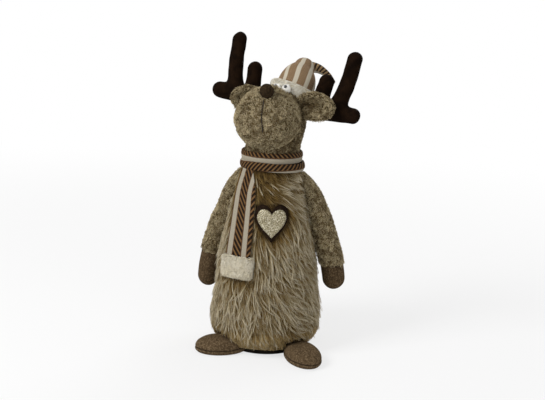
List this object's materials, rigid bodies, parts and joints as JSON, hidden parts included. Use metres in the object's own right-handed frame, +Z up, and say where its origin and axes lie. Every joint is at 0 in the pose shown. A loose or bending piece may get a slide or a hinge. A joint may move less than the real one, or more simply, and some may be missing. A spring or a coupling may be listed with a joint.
{
  "type": "fabric reindeer figure",
  "caption": "Standing plush reindeer figure with a weighted base, stuffed antlers, cupped ears, a woven scarf and cap, hanging mittened arms and flat felt feet.",
  "frame": {"origin": "middle of the underside of the base, on the surface that the figure stands on", "axes": "+Z up, the figure looks along -Y, and its own left arm is on +X"},
  "size_m": [0.2746, 0.188, 0.5124],
  "materials": {
    "curly_plush": "short curly pile",
    "fur_plush": "long straight pile with light tips",
    "suede": "brushed suede cloth",
    "brown_felt": "heathered felt",
    "base_felt": "dark felt",
    "cream_fur": "short cream fur",
    "scarf_cloth": "striped twill weave",
    "cap_cloth": "herringbone weave with cream stripes",
    "wadding": "polyester wadding",
    "board": "hardboard",
    "ballast": "cloth bag of granules",
    "gold_glitter": "glitter cloth",
    "heart_felt": "dark felt",
    "nose_felt": "brushed felt",
    "eye_white": "smooth white",
    "eye_black": "polished black",
    "black_thread": "twisted thread"
  },
  "bodies": {
    "body": {"base_cover": "base_felt", "base_board": "board", "ballast_bag": "ballast", "body_stuffing": "wadding", "body_front_panel": "fur_plush", "body_back_panel": "fur_plush", "heart_backing": "heart_felt", "heart_face": "gold_glitter", "scarf_wrap": "scarf_cloth"},
    "head": {"head_skin": "curly_plush", "head_stuffing": "wadding", "muzzle_skin": "curly_plush", "muzzle_stuffing": "wadding", "nose": "nose_felt", "mouth_stitch": "black_thread", "eye_left_white": "eye_white", "eye_left_pupil": "eye_black", "eye_right_white": "eye_white", "eye_right_pupil": "eye_black", "antler_left_front": "suede", "antler_left_back": "suede", "antler_left_stuffing": "wadding", "antler_right_front": "suede", "antler_right_back": "suede", "antler_right_stuffing": "wadding", "hat_crown": "cap_cloth", "hat_filling": "wadding", "hat_cuff": "cream_fur"},
    "ear_left": {"ear_left_back": "curly_plush", "ear_left_lining": "curly_plush"},
    "ear_right": {"ear_right_back": "curly_plush", "ear_right_lining": "curly_plush"},
    "cap_tip": {"hat_tip": "cap_cloth"},
    "scarf_end": {"scarf_tail": "scarf_cloth", "scarf_tail_cuff": "cream_fur"},
    "arm_left": {"arm_left_stuffing": "wadding", "arm_left_sleeve": "curly_plush", "mitten_left": "brown_felt"},
    "arm_right": {"arm_right_stuffing": "wadding", "arm_right_sleeve": "curly_plush", "mitten_right": "brown_felt"},
    "foot_left": {"foot_left_sole": "brown_felt", "foot_left_upper": "brown_felt", "foot_left_stuffing": "wadding"},
    "foot_right": {"foot_right_sole": "brown_felt", "foot_right_upper": "brown_felt", "foot_right_stuffing": "wadding"}
  },
  "joints": [
    {"name": "head_turn", "type": "hinge", "parent": "body", "child": "head", "pos_m": [0, 0, 0.312], "axis": [0, 0, 1], "range_deg": [-15, 15], "stiffness_Nm_per_rad": 1.5},
    {"name": "arm_left_swing", "type": "hinge", "parent": "body", "child": "arm_left", "pos_m": [0.04511, 0.01209, 0.291], "axis": [-0.943, -0.2527, -0.2164], "range_deg": [-40, 60], "stiffness_Nm_per_rad": 0.06},
    {"name": "arm_right_swing", "type": "hinge", "parent": "body", "child": "arm_right", "pos_m": [-0.04511, 0.01209, 0.291], "axis": [-0.943, 0.2527, 0.2164], "range_deg": [-40, 60], "stiffness_Nm_per_rad": 0.06},
    {"name": "ear_left_flop", "type": "hinge", "parent": "head", "child": "ear_left", "pos_m": [0.0415, -0.0105, 0.4045], "axis": [0, 1, 0], "range_deg": [-15, 15], "stiffness_Nm_per_rad": 0.08},
    {"name": "ear_right_flop", "type": "hinge", "parent": "head", "child": "ear_right", "pos_m": [-0.027, -0.002, 0.4065], "axis": [0, 1, 0], "range_deg": [-15, 15], "stiffness_Nm_per_rad": 0.08},
    {"name": "cap_tip_flop", "type": "hinge", "parent": "head", "child": "cap_tip", "pos_m": [0.0357, 0.048, 0.4585], "axis": [-0.418, 0.9084, 0], "range_deg": [-20, 10], "stiffness_Nm_per_rad": 0.08},
    {"name": "scarf_end_lift", "type": "hinge", "parent": "body", "child": "scarf_end", "pos_m": [-0.027, -0.03669, 0.29765], "axis": [-0.829, 0.5592, 0], "range_deg": [0, 75]},
    {"name": "foot_left_lift", "type": "hinge", "parent": "body", "child": "foot_left", "pos_m": [0.04971, -0.03706, 0], "axis": [-0.5977, -0.8017, 0], "range_deg": [0, 12]},
    {"name": "foot_right_lift", "type": "hinge", "parent": "body", "child": "foot_right", "pos_m": [-0.03657, -0.05006, 0], "axis": [-0.8075, 0.5899, 0], "range_deg": [0, 12]}
  ]
}
